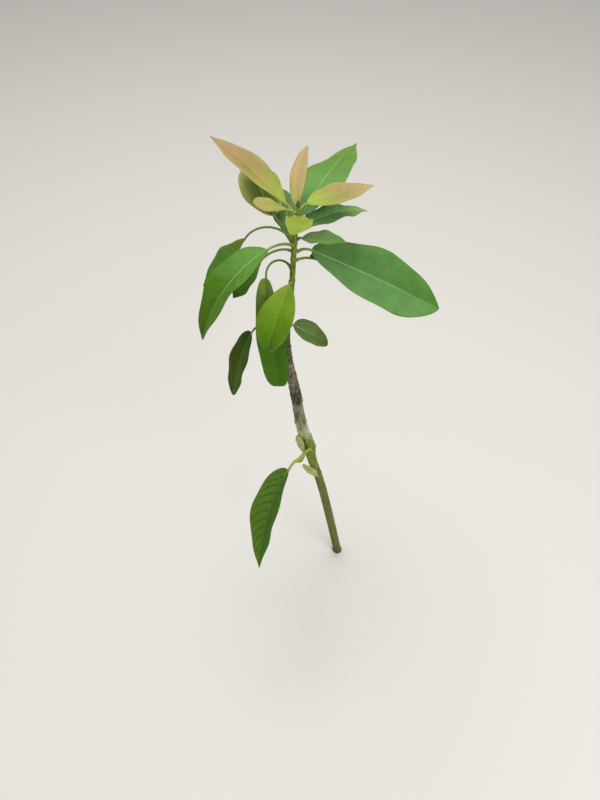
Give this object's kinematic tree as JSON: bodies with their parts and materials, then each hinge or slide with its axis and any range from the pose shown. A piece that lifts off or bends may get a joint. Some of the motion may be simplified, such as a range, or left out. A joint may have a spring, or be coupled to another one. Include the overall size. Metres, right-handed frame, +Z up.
{
  "type": "young grafted avocado tree",
  "caption": "Slender young avocado sapling with a leaning stem, a graft union with bark flaps and drooping elliptic leaves around a copper flush at the tip.",
  "frame": {"origin": "centre of the flat cut under the stem, at ground level", "axes": "+Z up, +X to the right in the picture, +Y away from its viewer"},
  "size_m": [0.2122, 0.2075, 0.6516],
  "materials": {
    "bark": "matt",
    "bud": "matt",
    "graft_bark": "matt",
    "leaf_mature": "satin",
    "leaf_bright": "satin",
    "leaf_shaded": "satin",
    "leaf_flush": "satin"
  },
  "bodies": {
    "root": {"trunk": "bark", "terminal_bud": "bud", "graft_flap_upper": "graft_bark", "graft_flap_lower": "graft_bark", "flush_leaf_left": "leaf_flush", "flush_leaf_upright": "leaf_flush", "flush_leaf_right": "leaf_flush", "flush_leaf_small_left": "leaf_flush", "flush_leaf_front": "leaf_bright", "leaf_back_right": "leaf_mature", "leaf_back": "leaf_mature", "leaf_right_upper": "leaf_mature", "leaf_right_tucked": "leaf_shaded", "leaf_large_right": "leaf_mature", "leaf_large_left": "leaf_mature", "leaf_left_behind": "leaf_shaded", "leaf_left_high": "leaf_mature", "leaf_front_bright": "leaf_bright", "leaf_front_lower": "leaf_shaded", "leaf_left_narrow": "leaf_shaded", "leaf_small_right": "leaf_mature", "leaf_inner_left": "leaf_shaded", "leaf_middle_left": "leaf_shaded", "leaf_middle_right": "leaf_mature", "leaf_graft_hanging": "leaf_mature"}
  },
  "joints": []
}
